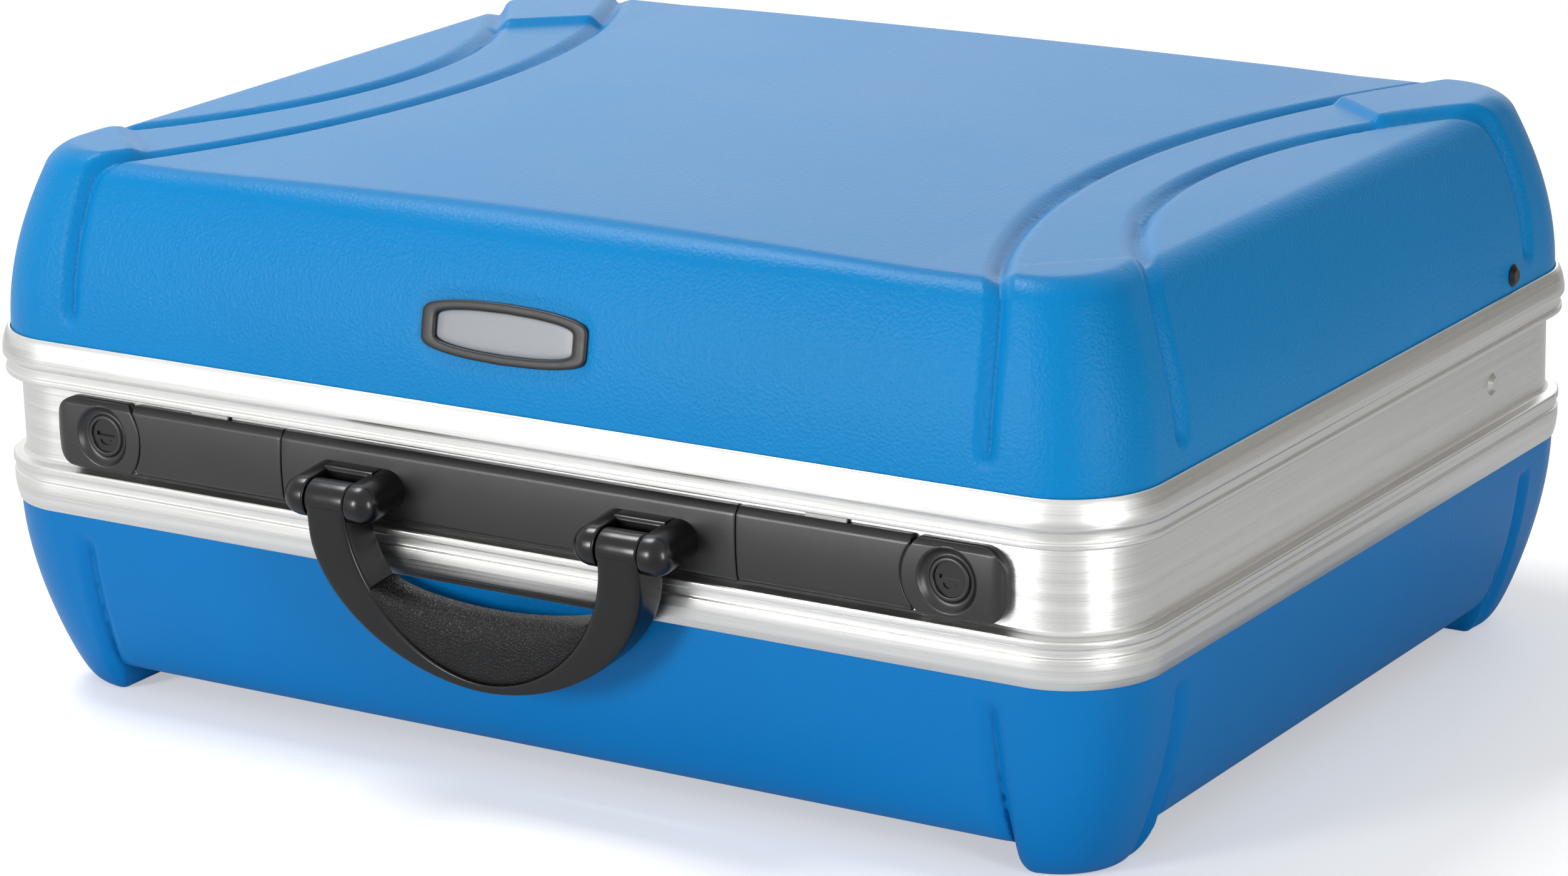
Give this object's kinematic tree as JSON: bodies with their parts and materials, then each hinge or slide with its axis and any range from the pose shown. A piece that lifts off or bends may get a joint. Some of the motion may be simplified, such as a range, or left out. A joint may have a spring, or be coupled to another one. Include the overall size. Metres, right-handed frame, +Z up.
{
  "type": "hard tool case",
  "caption": "Hard-shell tool case with aluminium frames, a fold-down carry handle, lever latches with key locks, rear hinges and lid stays.",
  "frame": {"origin": "on the floor the feet stand on, midway between the case's left and right sides and midway between the handle brackets' front and the hinges' rear", "axes": "+X to the right of somebody facing the handle, +Y towards the hinges, +Z up; the handle side faces -Y"},
  "size_m": [0.476, 0.3994, 0.2029],
  "materials": {
    "blue_shell": "pebbled satin",
    "satin_aluminium": "brushed lengthwise",
    "black_plastic": "satin",
    "grip_rubber": "leather grain",
    "bezel_gloss": "gloss",
    "insert_silver": "satin",
    "zinc_steel": "zinc plated",
    "seal_rubber": "matte"
  },
  "bodies": {
    "base": {"base_shell": "blue_shell", "base_frame": "satin_aluminium", "frame_seal": "seal_rubber", "handle_plate": "black_plastic", "handle_bracket_left": "black_plastic", "handle_bracket_right": "black_plastic", "handle_pins": "zinc_steel", "latch_pins": "zinc_steel", "lock_housing_left": "black_plastic", "lock_housing_right": "black_plastic", "hinge_leaf_base": "zinc_steel", "hinge_pins": "zinc_steel", "hinge_rivets_base": "zinc_steel", "stay_pins_base": "zinc_steel"},
    "lid": {"lid_shell": "blue_shell", "lid_frame": "satin_aluminium", "badge_bezel": "bezel_gloss", "badge_insert": "insert_silver", "latch_keepers": "zinc_steel", "hinge_leaf_lid": "zinc_steel", "hinge_rivets_lid": "zinc_steel", "stay_pins_lid": "black_plastic"},
    "handle": {"handle_frame": "black_plastic", "handle_grip": "grip_rubber"},
    "latch_left": {"latch_lever_left": "black_plastic"},
    "latch_right": {"latch_lever_right": "black_plastic"},
    "key_left": {"key_barrel_left": "black_plastic", "lock_cam_left": "zinc_steel"},
    "key_right": {"key_barrel_right": "black_plastic", "lock_cam_right": "zinc_steel"},
    "stay_left": {"stay_left": "zinc_steel"},
    "stay_right": {"stay_right": "zinc_steel"}
  },
  "joints": [
    {"name": "lid_hinge", "type": "hinge", "parent": "base", "child": "lid", "pos_m": [0, 0.19655, 0.1204], "axis": [-1, 0, 0], "range_deg": [0, 92]},
    {"name": "handle_swing", "type": "hinge", "parent": "base", "child": "handle", "pos_m": [0, -0.19255, 0.1025], "axis": [-1, 0, 0], "range_deg": [0, 96]},
    {"name": "latch_left_swing", "type": "hinge", "parent": "base", "child": "latch_left", "pos_m": [-0.1278, -0.17535, 0.0942], "axis": [1, 0, 0], "range_deg": [0, 85]},
    {"name": "latch_right_swing", "type": "hinge", "parent": "base", "child": "latch_right", "pos_m": [0.1278, -0.17535, 0.0942], "axis": [1, 0, 0], "range_deg": [0, 85]},
    {"name": "key_left_turn", "type": "hinge", "parent": "base", "child": "key_left", "pos_m": [-0.1752, -0.175, 0.1051], "axis": [0, -1, 0], "range_deg": [0, 90]},
    {"name": "key_right_turn", "type": "hinge", "parent": "base", "child": "key_right", "pos_m": [0.1752, -0.175, 0.1051], "axis": [0, 1, 0], "range_deg": [0, 90]},
    {"name": "stay_left_swing", "type": "hinge", "parent": "lid", "child": "stay_left", "pos_m": [-0.21625, 0.12675, 0.143], "axis": [1, 0, 0], "range_deg": [0, 73.6]},
    {"name": "stay_right_swing", "type": "hinge", "parent": "lid", "child": "stay_right", "pos_m": [0.21625, 0.12675, 0.143], "axis": [1, 0, 0], "range_deg": [0, 73.6]}
  ],
  "couplings": [
    {"joint": "stay_left_swing", "follows": "lid_hinge", "ratio": 0.8},
    {"joint": "stay_right_swing", "follows": "lid_hinge", "ratio": 0.8}
  ]
}
